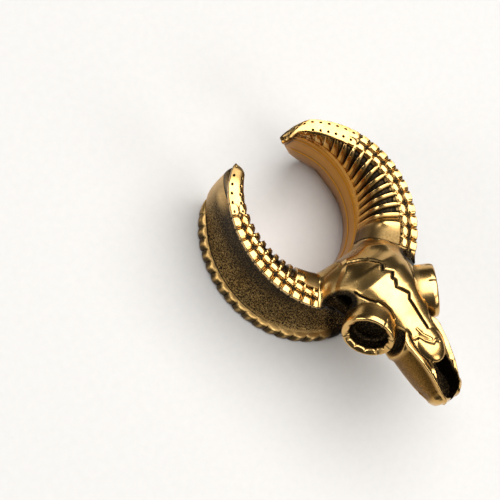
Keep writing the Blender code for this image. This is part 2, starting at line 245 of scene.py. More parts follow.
def mesh_object(name: str, skins: Sequence[Skin], material: bpy.types.Material, place: Array) -> Thing:
    """Puts surfaces into one mesh object, with their marks as attributes and a flat map for each.

    Args:
        name: the object's name.
        skins: the closed surfaces, each turned to face outwards by the sign of its volume.
        material: the finish.
        place: where the axis of the C stands in the frame, in millimetres.

    Returns:
        The object, which sits at the origin.
    """
    vertices, faces, maps = [], [], []
    marks: dict[str, list[Array]] = {mark: [] for mark in MARKS}
    count = 0
    for number, skin in enumerate(skins):
        points, quads, flat = skin.faces()
        corners = points[quads]
        volume = np.einsum("ij,ij->i", corners[:, 0], np.cross(corners[:, 1], corners[:, 2])).sum()
        volume += np.einsum("ij,ij->i", corners[:, 0], np.cross(corners[:, 2], corners[:, 3])).sum()
        if volume < 0:
            quads, flat = quads[:, ::-1], flat[:, ::-1]
        vertices.append(points)
        faces.append(quads + count)
        flat = flat * 0.98 + 0.01
        flat[..., 0] = (flat[..., 0] + number) / len(skins)
        maps.append(flat)
        for mark, values in marks.items():
            given = np.broadcast_to(skin.marks.get(mark, 0.0), skin.points.shape[:2]).ravel()
            values.append(np.concatenate([given, np.full(len(points) - given.size, given.mean())]))
        count += len(points)
    quads = np.concatenate(faces)
    keep = quads != np.roll(quads, 1, axis=1)
    mesh = bpy.data.meshes.new(name)
    mesh.vertices.add(count)
    mesh.vertices.foreach_set("co", ((np.concatenate(vertices) + place) * MM).astype(np.float32).ravel())
    mesh.loops.add(int(keep.sum()))
    mesh.loops.foreach_set("vertex_index", quads[keep].astype(np.int32))
    mesh.polygons.add(len(quads))
    starts = np.concatenate([[0], np.cumsum(keep.sum(axis=1))[:-1]])
    mesh.polygons.foreach_set("loop_start", starts.astype(np.int32))
    mesh.update(calc_edges=True)
    flat_map = mesh.uv_layers.new(name="OFBake")
    flat_map.data.foreach_set("uv", np.concatenate(maps)[keep].astype(np.float32).ravel())
    for mark, values in marks.items():
        layer = mesh.attributes.new(mark, "FLOAT", "POINT")
        layer.data.foreach_set("value", np.clip(np.concatenate(values), 0.0, 1.0).astype(np.float32))
    mesh.validate()
    mesh.shade_smooth()
    mesh.materials.append(material)
    thing = bpy.data.objects.new(name, mesh)
    bpy.context.scene.collection.objects.link(thing)
    return thing


def linear(colour: str) -> tuple[float, ...]:
    """An sRGB hex colour as linear light: ((c + 0.055) / 1.055)^2.4 above 0.04045, else c / 12.92."""
    shares = (int(colour[k : k + 2], 16) / 255 for k in (1, 3, 5))
    return *(((c + 0.055) / 1.055) ** 2.4 if c > 0.04045 else c / 12.92 for c in shares), 1.0


def add_node(tree: Tree, kind: str, links: dict | None = None, **settings: object) -> bpy.types.Node:
    """Adds a shader node.

    Args:
        tree: the node tree.
        kind: the node's type.
        links: for each input, by name or number, a socket to link or a value to set.
        settings: the node's own properties.

    Returns:
        The node.
    """
    node = tree.nodes.new(kind)
    for name, value in settings.items():
        setattr(node, name, value)
    for name, value in (links or {}).items():
        if isinstance(value, Link):
            tree.links.new(value, node.inputs[name])
        else:
            node.inputs[name].default_value = value
    return node


class Polish(Enum):
    """How bright the high places of a finish were buffed."""

    MIRROR = 0.22
    SOFT = 0.2
    SATIN = 0.32


@dataclass(frozen=True)
class AntiquedBrass:
    """Cast brass, tumbled, blackened with a sulphur patina and buffed.

    The casting skin gives fine pits, the patina stays black in every recess, and buffing gives
    the high places a warm yellow shine with soft, broken reflections.
    """

    name: str
    polish: Polish
    gold: str = "#e4bf7e"
    deep_gold: str = "#b98c47"
    amber_tone_and_reflection: str = "#bb8020"  # amber tone, and a painted reflection of gold in gold on the inner walls and horn flanks, where the amber mark asks for it
    # the patina's black, which the same mark also uses for painted shade
    black: str = "#17130f"
    skin_mm: float = 0.3
    skin_depth_mm: float = 0.006
    grit_mm: float = 0.2  # grains of the blasted places; real grit is finer than the render shows
    grit_depth_mm: float = 0.05
    cloud_mm: float = 2.5  # patches where the gold turns deeper
    speck_contrast: float = 2.2
    skin_contrast: float = 0.25
    black_roughness: float = 0.5
    grain_roughness: float = 0.16  # what full grain adds

    def material(self) -> bpy.types.Material:
        """Builds the finish: gold and black mixed by the mark of patina and painted light, broken up by
        noise.

        Returns:
            The material.
        """
        material = bpy.data.materials.new(self.name)
        material.use_nodes = True
        tree = material.node_tree
        shader = tree.nodes["Principled BSDF"]
        shader.inputs["Metallic"].default_value = 1.0
        place = add_node(tree, "ShaderNodeTexCoord").outputs["Object"]
        patina_and_painted_light, grain, amber_tone_and_painted_reflection = (
            add_node(tree, "ShaderNodeAttribute", attribute_name=mark).outputs["Fac"] for mark in MARKS
        )
        grit = self.noise(tree, place, self.grit_mm, 2.0)
        skin = self.noise(tree, place, self.skin_mm, 3.0)
        clouds = self.noise(tree, place, self.cloud_mm, 2.0)
        specks = self.worked(tree, "MULTIPLY", self.swing(tree, grit, self.speck_contrast), grain)
        dark = self.worked(tree, "ADD", patina_and_painted_light, specks)
        dark = self.worked(tree, "ADD", dark, self.swing(tree, skin, self.skin_contrast), use_clamp=True)
        gold = self.mixed(tree, clouds, linear(self.gold), linear(self.deep_gold))
        gold = self.mixed(tree, amber_tone_and_painted_reflection, gold, linear(self.amber_tone_and_reflection))
        colour = self.mixed(tree, dark, gold, linear(self.black))
        tree.links.new(colour, shader.inputs["Base Color"])
        rough = self.ranged(tree, dark, self.polish.value, self.black_roughness)
        rougher = self.ranged(tree, grain, 0.0, self.grain_roughness)
        tree.links.new(self.worked(tree, "ADD", rough, rougher), shader.inputs["Roughness"])
        fine = self.bumped(tree, skin, self.skin_depth_mm)
        deep = self.worked(tree, "MULTIPLY", grit, grain)
        bumps = self.bumped(tree, deep, self.grit_depth_mm, Normal=fine)
        tree.links.new(bumps, shader.inputs["Normal"])
        return material

    @staticmethod
    def noise(tree: Tree, place: Link, size_mm: float, detail: float) -> Link:
        """Noise whose lumps have a size in millimetres."""
        links = {"Vector": place, "Scale": 1.0 / (size_mm * MM), "Detail": detail, "Roughness": 0.55}
        return add_node(tree, "ShaderNodeTexNoise", links).outputs[0]

    @staticmethod
    def worked(tree: Tree, operation: str, first: Link, second: Link | float, **settings: bool) -> Link:
        """The sum or the product of two values."""
        links = {0: first, 1: second}
        return add_node(tree, "ShaderNodeMath", links, operation=operation, **settings).outputs[0]

    @staticmethod
    def swing(tree: Tree, value: Link, contrast: float) -> Link:
        """Noise made to swing about 0: (value - 0.5) times the contrast."""
        centred = AntiquedBrass.worked(tree, "ADD", value, -0.5)
        return AntiquedBrass.worked(tree, "MULTIPLY", centred, contrast)

    @staticmethod
    def bumped(tree: Tree, height: Link, depth_mm: float, **under: Link) -> Link:
        """Normals tilted by a height of some depth, on top of other ones where Normal gives them."""
        links = {"Height": height, "Strength": 1.0, "Distance": depth_mm * MM, **under}
        return add_node(tree, "ShaderNodeBump", links).outputs[0]

    @staticmethod
    def mixed(tree: Tree, share: Link, first: object, second: object) -> Link:
        """One colour turning to another as the share goes from 0 to 1."""
        node = add_node(tree, "ShaderNodeMix", {0: share, 6: first, 7: second}, data_type="RGBA")
        return node.outputs[2]

    @staticmethod
    def ranged(tree: Tree, value: Link, low: float, high: float) -> Link:
        """A value between 0 and 1 spread over another range."""
        return add_node(tree, "ShaderNodeMapRange", {0: value, 3: low, 4: high}).outputs[0]


@dataclass(frozen=True)
class Oval:
    """An ellipse about a point on the Y axis."""

    centre_y: float
    half_width: float
    half_length: float

    def radius(self, angle: Array) -> Array:
        """The distance from the axis of the C to the ellipse: the root of its quadratic equation.

        Args:
            angle: degrees from the head round to the mouth.

        Returns:
            The distance in each direction.
        """
        s, c = np.sin(np.radians(angle)), np.cos(np.radians(angle))
        square = (s / self.half_width) ** 2 + (c / self.half_length) ** 2
        linear_term = c * self.centre_y / self.half_length**2
        rest = (self.centre_y / self.half_length) ** 2 - 1
        return (-linear_term + np.sqrt(linear_term**2 - square * rest)) / square


@dataclass(frozen=True)
class Saddle:
    """The sizes that both arms of the C share, as in the solids."""

    root_angle: float = 38.0
    tuck_length: float = 24.0
    lip: Oval = Oval(2.6, 9.5, 10.6)
    lip_heights: tuple[float, float, float] = (8.1, 9.2, 11.6)
    lip_angles: tuple[float, float] = (38.0, 150.0)
    waist: Oval = Oval(1.1, 11.4, 12.8)
    back_rim: Oval = Oval(-0.9, 13.9, 15.4)
    back_inner: Oval = Oval(2.5, 11.3, 10.4)
    back_flare: float = 1.6
    flare_angles: tuple[float, float] = (105.0, 140.0)
    rim_height: float = 1.7
    side_face: float = 1.5
    lobe_fade: float = 26.0
    lobe_bulge: float = 0.5
    wall_end_share: float = 0.7
    tip_swell: float = 0.3
    end_line: float = 0.78
    corner_angle: float = 8.0
    corner_height: float = 4.0
    least_wall: float = 0.9
    least_face: float = 1.3
    collar_rise: float = 3.0  # how far the collar's top climbs the head
    rise_angles: tuple[float, float] = (18.0, 38.0)


@dataclass(frozen=True)
class Arm:
    """One arm of the C: the places of its horn's front edge, its ends and its ribs."""

    name: str
    sign: int
    front: Oval
    front_heights: tuple[float, float, float]
    end_front: float
    end_back: float
    end_rounding: float
    tuck: float
    tip_share: float  # how near the horn's inner side its tip closes
    ribs: int
    first_bead: float  # share of a rib's pitch by which the beads start later
    saddle: Saddle = Saddle()

    def lip_at(self, angle: Array) -> tuple[Array, Array]:
        """Radius and height of the lip between the horn and the wall.

        Args:
            angle: degrees from the head round to the mouth.

        Returns:
            Both for each angle.
        """
        first, last = self.saddle.lip_angles
        share = np.maximum(angle - first, 0.0) / (last - first)
        radius = np.minimum(self.saddle.lip.radius(angle), self.front_at(angle)[0] - self.saddle.least_face)
        return radius, through(self.saddle.lip_heights, share)

    def front_at(self, angle: Array) -> tuple[Array, Array]:
        """Radius and height of the horn's outer front edge.

        Args:
            angle: degrees from the head round to the mouth.

        Returns:
            Both for each angle.
        """
        root = self.saddle.root_angle
        along = np.maximum(angle - root, 0.0) / (self.end_front - root)
        tuck = self.tuck * smooth_step(angle, self.end_front - self.saddle.tuck_length, self.end_front)
        return self.front.radius(angle) - tuck, through(self.front_heights, along)

    def fade(self, angle: Array) -> Array:
        """0 along the groove and 1 where the arm ends without one."""
        end = min(self.end_front, self.end_back)
        return smooth_step(angle, end - self.saddle.lobe_fade, end)

    def waist_at(self, angle: Array) -> tuple[Array, Array]:
        """Radius and height of the groove's deepest line.

        Args:
            angle: degrees from the head round to the mouth.

        Returns:
            Both for each angle.
        """
        lip_radius, lip_height = self.lip_at(angle)
        rim = self.saddle.back_rim.radius(angle)
        front, _ = self.front_at(angle)
        straight = (front + rim) / 2 + self.saddle.lobe_bulge
        radius = self.saddle.waist.radius(angle)
        radius = radius + (straight - radius) * self.fade(angle)
        radius = np.minimum(radius, front + self.saddle.tip_swell)
        return np.maximum(radius, lip_radius + self.saddle.least_wall), lip_height

    def end_at(self, height: Array) -> Array:
        """The angle where the arm ends at a height: a slanted line, rounded at the back.

        Args:
            height: heights over the back face.

        Returns:
            The angle for each height.
        """
        line = self.end_back + (self.end_front - self.end_back) * height / self.front_heights[2]
        corner = np.maximum(1.0 - height / self.saddle.corner_height, 0.0)
        return line - self.saddle.corner_angle * corner**2

    def horn_face(self, angle: Array, t: Array) -> tuple[Array, Array]:
        """From the lip up the ribbed flank and across the top: a cubic with an early shoulder.

        Args:
            angle: degrees from the head round to the mouth.
            t: places along the curve, 0 to 1.

        Returns:
            Radius and height.
        """
        lip_r, lip_z = self.lip_at(angle)
        top_r, top_z = self.front_at(angle)
        width = top_r - lip_r
        corner = (lip_r - 0.02 * width, top_z + 0.1)
        shoulder = (lip_r + 0.25 * width, top_z + 0.5)
        return bezier(((lip_r, lip_z), corner, shoulder, (top_r, top_z)), t)

    def horn_side(self, angle: Array, t: Array) -> tuple[Array, Array]:
        """From the waist up the groove to the foot of the bead row, then up its side.

        Args:
            angle: degrees from the head round to the mouth.
            t: places along the curve, 0 to 1.

        Returns:
            Radius and height.
        """
        _, lip_z = self.lip_at(angle)
        top_r, top_z = self.front_at(angle)
        waist_r, waist_z = self.waist_at(angle)
        share = 0.62  # of the points, which lie in the groove
        low = (top_r - 0.35, top_z - self.saddle.side_face)
        bend = (waist_r + 0.1, lip_z + 0.55 * (top_z - lip_z))
        groove = bezier(((waist_r, waist_z), bend, low), np.minimum(t / share, 1.0))
        controls = (low, (top_r, top_z - 1.1), (top_r + 0.2, top_z - 0.2), (top_r, top_z))
        side = bezier(controls, np.maximum((t - share) / (1 - share), 0.0))
        return tuple(np.where(t < share, g, s) for g, s in zip(groove, side))

    def wall_inside(self, angle: Array, t: Array) -> tuple[Array, Array]:
        """From the middle of the back face to its inner edge, then up the inner wall.

        Args:
            angle: degrees from the head round to the mouth.
            t: places along the curve, 0 to 1.

        Returns:
            Radius and height.
        """
        lip_r, lip_z = self.lip_at(angle)
        waist_r, _ = self.waist_at(angle)
        rim_r = self.saddle.back_rim.radius(angle)
        inner_r = self.inner_radius(angle)
        neck_r = np.minimum(lip_r, waist_r - self.saddle.least_wall)
        share = 0.1  # of the points, which lie on the back face
        middle = (inner_r + rim_r) / 2
        back = middle + (inner_r - middle) * np.minimum(t / share, 1.0)
        climb = np.maximum((t - share) / (1 - share), 0.0)
        wall_r, wall_z = bezier(((inner_r, 0.0), (neck_r - 0.4, 0.5 * lip_z), (neck_r, lip_z)), climb)
        return np.where(t < share, back, wall_r), np.where(t < share, 0.0, wall_z)

    def wall_outside(self, angle: Array, t: Array) -> tuple[Array, Array]:
        """From the middle of the back face to the rim, round its beads and up the groove.

        Args:
            angle: degrees from the head round to the mouth.
            t: places along the curve, 0 to 1.

        Returns:
            Radius and height.
        """
        waist_r, waist_z = self.waist_at(angle)
        rim_r = self.saddle.back_rim.radius(angle)
        middle = (self.inner_radius(angle) + rim_r) / 2
        first, second = 0.1, 0.45  # shares of the points on the back face and below the groove
        edge_r = rim_r - 0.45
        back = middle + (edge_r - middle) * np.minimum(t / first, 1.0)
        rise = self.saddle.rim_height
        foot = (rim_r - 0.75 * (1.0 - self.fade(angle)), rise + 0.1)
        controls = ((edge_r, 0.0), (rim_r + 0.15, 0.0), (rim_r + 0.15, rise), foot)
        round_r, round_z = bezier(controls, np.clip((t - first) / (second - first), 0.0, 1.0))
        bend = (waist_r + 0.1, 0.4 * waist_z)
        climb = np.maximum((t - second) / (1 - second), 0.0)
        groove_r, groove_z = bezier((foot, bend, (waist_r, waist_z)), climb)
        radius = np.where(t < first, back, np.where(t < second, round_r, groove_r))
        height = np.where(t < first, 0.0, np.where(t < second, round_z, groove_z))
        return radius, height

    def inner_radius(self, angle: Array) -> Array:
        """The inner edge of the back face, which spreads towards the ends.

        Args:
            angle: degrees from the head round to the mouth.

        Returns:
            Its radius.
        """
        spread = self.saddle.back_flare * smooth_step(angle, *self.saddle.flare_angles)
        rim_r = self.saddle.back_rim.radius(angle)
        return np.minimum(self.saddle.back_inner.radius(angle) + spread, rim_r - self.saddle.least_wall)

    def shares(self, start: float, rows: int) -> Array:
        """Even shares of the arm's length, closer at its end as the sine of even angles is.

        Args:
            start: the angle where the piece starts.
            rows: how many rows of points it has.

        Returns:
            A share for each row, from 0 to 1.
        """
        length = self.end_rounding / (self.end_front - start)
        last = rows // 7
        end = 1.0 - length + length * np.sin(np.linspace(0.0, math.pi / 2, last))
        return np.concatenate([np.linspace(0.0, 1.0 - length, rows - last, endpoint=False), end])

    def swept(
        self,
        curves: tuple[Curve, Curve],
        start: float,
        along: Array,
        t: tuple[Array, Array],
        share: float,
        line: float = 1.0,
    ) -> Skin:
        """The surface of an arm between two curves, with its slanted, rounded end.

        Every point is turned as far as its own height asks: the share along the arm of the angle
        where the arm ends at that height. Near the end the section closes on a line between its
        two sides as a quarter circle does.

        Args:
            curves: the section's two sides, each as radius and height over angle and t.
            start: the angle where the arm starts.
            along: shares of the arm's length, one for each row.
            t: the places along the two sides.
            share: how near the first side the closing line lies.
            line: share of the section's height that the closing line takes, from its foot.

        Returns:
            The surface, each row the first side and then the second one backwards.
        """
        along = along[:, None]
        sides = []
        for curve, places in zip(curves, t):
            angle = start + along * (self.end_at(0.5 * self.front_heights[2]) - start) + 0 * places
            for _ in range(4):
                angle = start + along * (self.end_at(curve(angle, places)[1]) - start)
            sides.append(np.stack([angle, *curve(angle, places)], axis=2))
        middle = share * sides[0] + (1.0 - share) * sides[1]
        place = np.arange(middle.shape[1]) * line
        under = np.floor(place).astype(int)
        over = np.minimum(under + 1, middle.shape[1] - 1)
        part = (place - under)[None, :, None]
        middle = (1.0 - part) * middle[:, under] + part * middle[:, over]
        length = self.end_rounding / (self.end_front - start)
        size = pillow(np.clip((along - 1.0 + length) / length, 0.0, 0.999))[..., None]
        sides = [middle + (side - middle) * size for side in sides]
        ring = np.concatenate([sides[0], sides[1][:, ::-1]], axis=1)
        return Skin(placed(ring[..., 0], ring[..., 1], ring[..., 2], self.sign), zipped=True)


def angle_of(points: Array, sign: int) -> Array:
    """The angle from the head at which points lie, on one side of it."""
    return np.degrees(np.arctan2(sign * points[..., 0], -points[..., 1]))


def placed(angle: Array, radius: Array, height: Array, sign: int) -> Array:
    """Points from their angle, radius and height, to the left of the head or to its right."""
    s, c = np.sin(np.radians(angle)), np.cos(np.radians(angle))
    return np.stack([sign * radius * s, -radius * c, height], axis=-1)


LEFT = Arm("left", 1, Oval(-0.9, 14.85, 15.75), (13.6, 14.7, 12.6), 169.0, 139.0, 16.0, 1.9, 0.3, 19, -0.12)
RIGHT = Arm("right", -1, Oval(0.3, 13.7, 15.2), (14.2, 15.6, 14.8), 152.0, 151.0, 4.5, 0.4, 0.5, 15, 0.47)


@dataclass
class Piece:
    """What every piece of the hanger has: a finish and a place in the frame."""

    material: bpy.types.Material
    place: Array

    def put(self, name: str, skins: Sequence[Skin], slot: str, node: str) -> Thing:
        """Makes the object, gives it to the body and takes the place of the plain solids.

        Args:
            name: the object's name.
            skins: its surfaces.
            slot: the record's material slot; not used.
            node: the node it stands for.

        Returns:
            The object.
        """
        thing = mesh_object(name, skins, self.material, self.place)
        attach(thing, "root")
        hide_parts(node)
        triangles = sum(len(p.vertices) - 2 for p in thing.data.polygons)
        log.info("%s: %d triangles, in place of %s", name, triangles, node)
        return thing


@dataclass
class Horn(Piece):
    """A horn: two rows of beads on its front edge, ribs down its inner flank, a plain side."""

    rows: int = 520
    columns: int = 88
    bead_depth: float = 0.45
    rib_depth: float = 0.85
    rib_slope: float = 0.3
    beads: float = 9.3  # beads that stand apart before they flow into a smooth band
    band_width: float = 4.8  # width of the face for which the bead places below are given
    outer_bead: float = 0.45
    inner_bead: float = 1.8
    rib_top: float = 2.5
    rib_foot: float = 7.4  # of the same scale as the band's width
    pit_pitch: float = 0.77  # of a rib's pitch
    pit_depth: float = 0.3
    lip_ridges: Route = ((0.3, 0.13), (0.95, 0.09))  # distance up, height
    foot_step: float = 0.16  # how far the side below the beads lies back
    side_gap_depth: float = 0.3
    ledge: float = 1.45  # how far down the side the beads reach, and by how much that waves
    ledge_wave: float = 0.14
    boss: tuple[float, float, float] = (1.9, 3.2, 0.2)  # ribs from the root, distance inwards, height
    # the patina's strength before the first rib and in the groove, the painted shade's strength over the
    # tip, and the patina's at the root's seam
    root_black: float = 0.78
    groove_black: float = 0.94
    tip_shade: float = 0.55
    seam_black: float = 0.95

    def relief(self, arm: Arm, n: Array, s: Array, up: Array) -> tuple[Array, Array]:
        """Heights over the smooth horn.

        A bead is the product of a round cushion along the row and one across it. Past the last
        bead the gaps close and leave a row of pits. Ribs lie between saw-cut gaps, which are
        widest under the beads and run out down the flank.

        Args:
            arm: the arm it lies on.
            n: how many ribs from the root, for each row.
            s: distance over the surface from the front edge, inwards positive.
            up: distance over the surface from the lip.

        Returns:
            The height in millimetres, and how black the surface is left, 0 to 1: patina, and painted shade
            on one side of each rib.
        """
        apart = 1.0 - smooth_step(n, self.beads, self.beads + 3.0)
        turn = n - arm.first_bead
        bead = phase(turn)
        beads = self.bead_rows(bead, s)
        on_band = between(s, (-1.5, -1.2), (self.rib_top - 0.1, self.rib_top + 0.2))
        height = -self.bead_depth * (1.0 - beads) * on_band * apart
        pits = self.pit_rows(n, s) * (1.0 - apart)
        height -= self.pit_depth * pits
        top, bottom = self.rib_top, self.rib_foot
        p = np.clip((s - top) / (bottom - top), 0.0, 1.0)
        gap = 0.25 * (1.0 - p) ** 0.8 + 0.04
        r = bead / 2  # from a rib's middle, in ribs
        into = np.clip((np.abs(r) - gap) / 0.1, -1.0, 1.0)
        cut = 0.5 - 0.5 * np.sin(into * math.pi / 2)
        zone = between(s, (top - 0.1, top + 0.3), (bottom - 0.4, bottom + 0.2))
        strength = 1.0 - 0.75 * smooth_step(n, 10.5, 15.0)
        strength = strength * smooth_step(n, 1.9, 3.2)
        tilt = self.rib_slope * (1.0 - (r + 1.0) % 1.0) * (1.0 - 0.5 * p)
        height -= zone * strength * (self.rib_depth * (1.0 - 0.6 * p) * cut + tilt * (1.0 - cut))
        height += sum(high * bump(up, place, 0.14) for place, high in self.lip_ridges)
        ledge = -self.scallop(n, arm)
        foot = smooth_step(s, ledge - 0.15, ledge + 0.1)
        height -= self.foot_step * (1.0 - foot) * smooth_step(s, ledge - 1.6, ledge - 0.2)
        side_gap = bump(1.0 - np.abs(bead), 0.0, 0.16) * (0.3 + 0.7 * apart)
        side_gap = smooth_step(-s, 0.0, 0.4) * foot * side_gap
        boss = bump(n, self.boss[0], 0.5) * bump(s, self.boss[1], 0.8)
        height += self.boss[2] * boss - self.side_gap_depth * side_gap
        black = most(
            # patina in the rib cuts, and painted shade over one side of each rib
            zone * strength * most(cut, 0.6 * smooth_step(r, -0.12, 0.2)),
            0.9 * side_gap,
            self.root_black * zone * (1.0 - smooth_step(n, 1.6, 2.8)) * (1.0 - boss),
            on_band * apart * smooth_step(beads, 0.45, 0.1),
            smooth_step(pits, 0.1, 0.6),
        )
        return height, black

    def bead_rows(self, bead: Array, s: Array) -> Array:
        """How high the beads stand, 0 to 1.

        Args:
            bead: the place within a bead along the row, -1 to 1.
            s: distance over the surface from the front edge.

        Returns:
            Oval cushions for the outer row, cut off at their gaps, and for the inner row round
            ones with a small drop behind each gap.
        """
        along = np.abs(bead)
        row_gap = 1.0 - pillow(along * 1.03) ** 0.6
        out = np.where(s > self.outer_bead, (s - self.outer_bead) / 0.62, (self.outer_bead - s) / 2.3)
        outer = pillow(np.hypot(along**1.8, out * (s > self.outer_bead))) ** 0.6
        outer = np.minimum(outer, pillow(out) ** 0.6)
        inner = pillow(np.hypot(along**1.3, (s - self.inner_bead) / 0.6)) ** 0.6
        behind = (s - self.inner_bead - 0.5) / 0.4
        drop = 0.7 * pillow(np.hypot((1.0 - along) * 3.0, behind))
        return most(outer * (1.0 - row_gap), inner, drop)

    def pit_rows(self, n: Array, s: Array) -> Array:
        """How deep the two rows of round pits are past the last bead, 0 to 1.

        Args:
            n: how many ribs from the root.
            s: distance over the surface from the front edge.

        Returns:
            Two rows of cushions.
        """
        turn = n / self.pit_pitch
        along = np.abs(turn - np.round(turn)) * 1.3
        across = np.minimum(np.abs(s - 0.35) / 0.16, np.abs(s - 1.7) / 0.2)
        return pillow(np.hypot(along / 0.2, across))

    def scallop(self, n: Array, arm: Arm) -> Array:
        """How far down the side the bead row reaches: a wavy line with a wave for each bead."""
        return self.ledge + self.ledge_wave * np.cos(2 * math.pi * (n - arm.first_bead))

    def build(self, arm: Arm) -> Thing:
        """Builds the horn of one arm.

        Args:
            arm: the arm.

        Returns:
            The object.
        """
        along = arm.shares(arm.saddle.root_angle, self.rows)
        q = np.linspace(0.0, 1.0, self.columns)[None, :]
        face_t = q + 0.35 * q * (1.0 - q)
        sides, saddle = (arm.horn_face, arm.horn_side), arm.saddle
        smooth = arm.swept(sides, saddle.root_angle, along, (face_t, q), arm.tip_share, saddle.end_line)
        steps = np.linalg.norm(np.diff(smooth.points, axis=1, append=smooth.points[:, :1]), axis=2)
        run = np.cumsum(steps, axis=1)
        run = run - run[:, self.columns - 1 : self.columns]
        inward = -run
        angle = angle_of(smooth.points, arm.sign)
        lip_r, _ = arm.lip_at(angle)
        width = np.clip(arm.front_at(angle)[0] - lip_r, saddle.least_face, None)
        spread = np.clip((inward - self.rib_top) / self.rib_top, 0.0, 1.0)
        s = inward * (1.0 + spread * (self.band_width / width - 1.0))
        n = along[:, None] * arm.ribs
        height, black = self.relief(arm, n, s, run - run[:, :1])
        keep = 1.0 - smooth_step(along, 0.96, 0.995)[:, None]
        skin = smooth.raised(height * keep)
        groove = smooth_step(-s, self.ledge, self.ledge + 0.25)
        # painted highlight: a streak down the groove towards the tip, where the patina is left thin and the
        # grain fine
        painted_highlight_streak = bump(angle, arm.end_front - 22.0, 13.0) * bump(-s, 2.6, 0.9)
        skin.marks["grain"] = 0.45 * groove * (1.0 - 0.9 * painted_highlight_streak)
        # amber on the lower flank: a painted reflection of gold in gold
        skin.marks["amber_tone_and_painted_reflection"] = 0.8 * smooth_step(s, 4.4, 6.2)
        # the groove's patina, with a painted shadow band just under the bead row, left light along the
        # painted highlight streak
        groove_patina_shadow_and_highlight = groove * (self.groove_black + 0.05 * bump(-s, 2.2, 1.0)) * (1.0 - 0.9 * painted_highlight_streak)
        hollow = smooth_step(skin.hollows(5), 0.012, 0.06)
        # painted shade over the horn's rounded tip
        painted_tip_shade = self.tip_shade * smooth_step(along, 0.87, 0.93)[:, None]
        seam = self.seam_black * (1.0 - smooth_step(n, 0.04, 0.2))
        skin.marks["patina_and_painted_light"] = most(black * keep, hollow, groove_patina_shadow_and_highlight, painted_tip_shade, seam)
        return self.put(f"horn_{arm.name}", [skin], "horn_brass", f"horn_{arm.name}")


@dataclass
class Wall(Piece):
    """The flanged wall behind a horn: satin inside, blasted outside, a beaded rim at the back."""

    rows: int = 420
    columns: int = 90
    rim_beads: int = 19
    rim_relief: float = 0.35
    lean: float = 0.55  # of a bead, over the rim's height
    ridge_height: float = 0.14
    ridges: Route = ((0.56, 0.02, 1.0), (0.9, 0.018, 0.7))  # share of the lip's height, width, strength
    # the patina's strength between the painted highlight strokes on the rim's beads, low in the groove,
    # where a painted shadow under the horn adds to it higher up, and over the rim
    stroke_black: float = 0.88
    groove_black: float = 0.76
    edge_black: float = 0.62

    def build(self, arm: Arm) -> Thing:
        """Builds the wall of one arm.

        The rim's beads are cushions along the row whose gaps lean with the height, as the strands
        of a rope do. Two fine ridges run round the inner wall.

        Args:
            arm: the arm.

        Returns:
            The object.
        """
        along = arm.shares(0.0, self.rows)
        q = np.linspace(0.0, 1.0, self.columns)[None, :]
        share = arm.saddle.wall_end_share
        smooth = arm.swept((arm.wall_inside, arm.wall_outside), 0.0, along, (q, q), share)
        height = smooth.points[..., 2]
        outside = np.arange(2 * self.columns)[None, :] >= self.columns
        angle = angle_of(smooth.points, arm.sign)
        fade = 1.0 - arm.fade(angle)
        rim = arm.saddle.rim_height
        bead = phase(along[:, None] * self.rim_beads + self.lean * height / rim)
        on_rim = outside * between(height, (0.02, 0.3), (rim - 0.3, rim + 0.15))
        cushion = pillow(bead * 1.02) ** 0.8
        relief = self.rim_relief * on_rim * (cushion * fade + 0.3 * (1 - fade))
        _, lip_z = arm.lip_at(angle)
        ridges = sum(strong * bump(height / lip_z, place, wide) for place, wide, strong in self.ridges)
        relief = relief + self.ridge_height * ridges * (1.0 - outside)
        keep = 1.0 - smooth_step(along, 0.95, 0.995)[:, None]
        skin = smooth.raised(relief * keep)
        groove = outside * smooth_step(height, rim + 0.05, rim + 0.35)
        end = bump(angle, min(arm.end_front, arm.end_back) - 3.0, 9.0)
        # the blasting and its light specks fade towards the horn, with the painted shadow under it
        skin.marks["grain"] = groove * (1.0 - 0.8 * end) * (1.0 - 0.55 * smooth_step(height, 4.0, 8.0))
        # amber over the inner wall: a painted reflection of gold in gold
        skin.marks["amber_tone_and_painted_reflection"] = 1.0 - outside
        black = on_rim * fade * smooth_step(cushion, 0.5, 0.15)
        hollow = smooth_step(skin.hollows(4), 0.012, 0.05)
        # painted shade over the outside of the wall under the head
        painted_shade_under_head = outside * (1.0 - smooth_step(angle, 10.0, 27.0))
        # painted highlights: a stroke along each rim bead, brighter towards its top, where the patina is
        # left off
        shine = bump(bead, 0.0, 0.24) * (0.45 + 0.55 * smooth_step(height, 0.5 * rim, 0.9 * rim))
        rim_patina_and_painted_highlight = on_rim * fade * (self.stroke_black - self.stroke_black * shine)
        # painted highlight: a streak high on the groove near the arm's end, where the patina is left off
        painted_highlight_streak = bump(angle, min(arm.end_front, arm.end_back) - 13.0, 7.0) * smooth_step(height, 6.0, 9.0)
        # the groove's patina, darker higher up as painted shadow under the horn
        depth = self.groove_black + 0.2 * smooth_step(height, 3.0, 7.5)
        groove_patina_shadow_and_highlight = depth * groove * (1.0 - 0.9 * most(end, painted_highlight_streak))
        edge = self.edge_black * outside * fade * bump(height, rim + 0.12, 0.32)
        skin.marks["patina_and_painted_light"] = most(black, hollow, groove_patina_shadow_and_highlight, rim_patina_and_painted_highlight, painted_shade_under_head, edge)
        return self.put(f"saddle_{arm.name}", [skin], "wall_brass", f"saddle_{arm.name}")


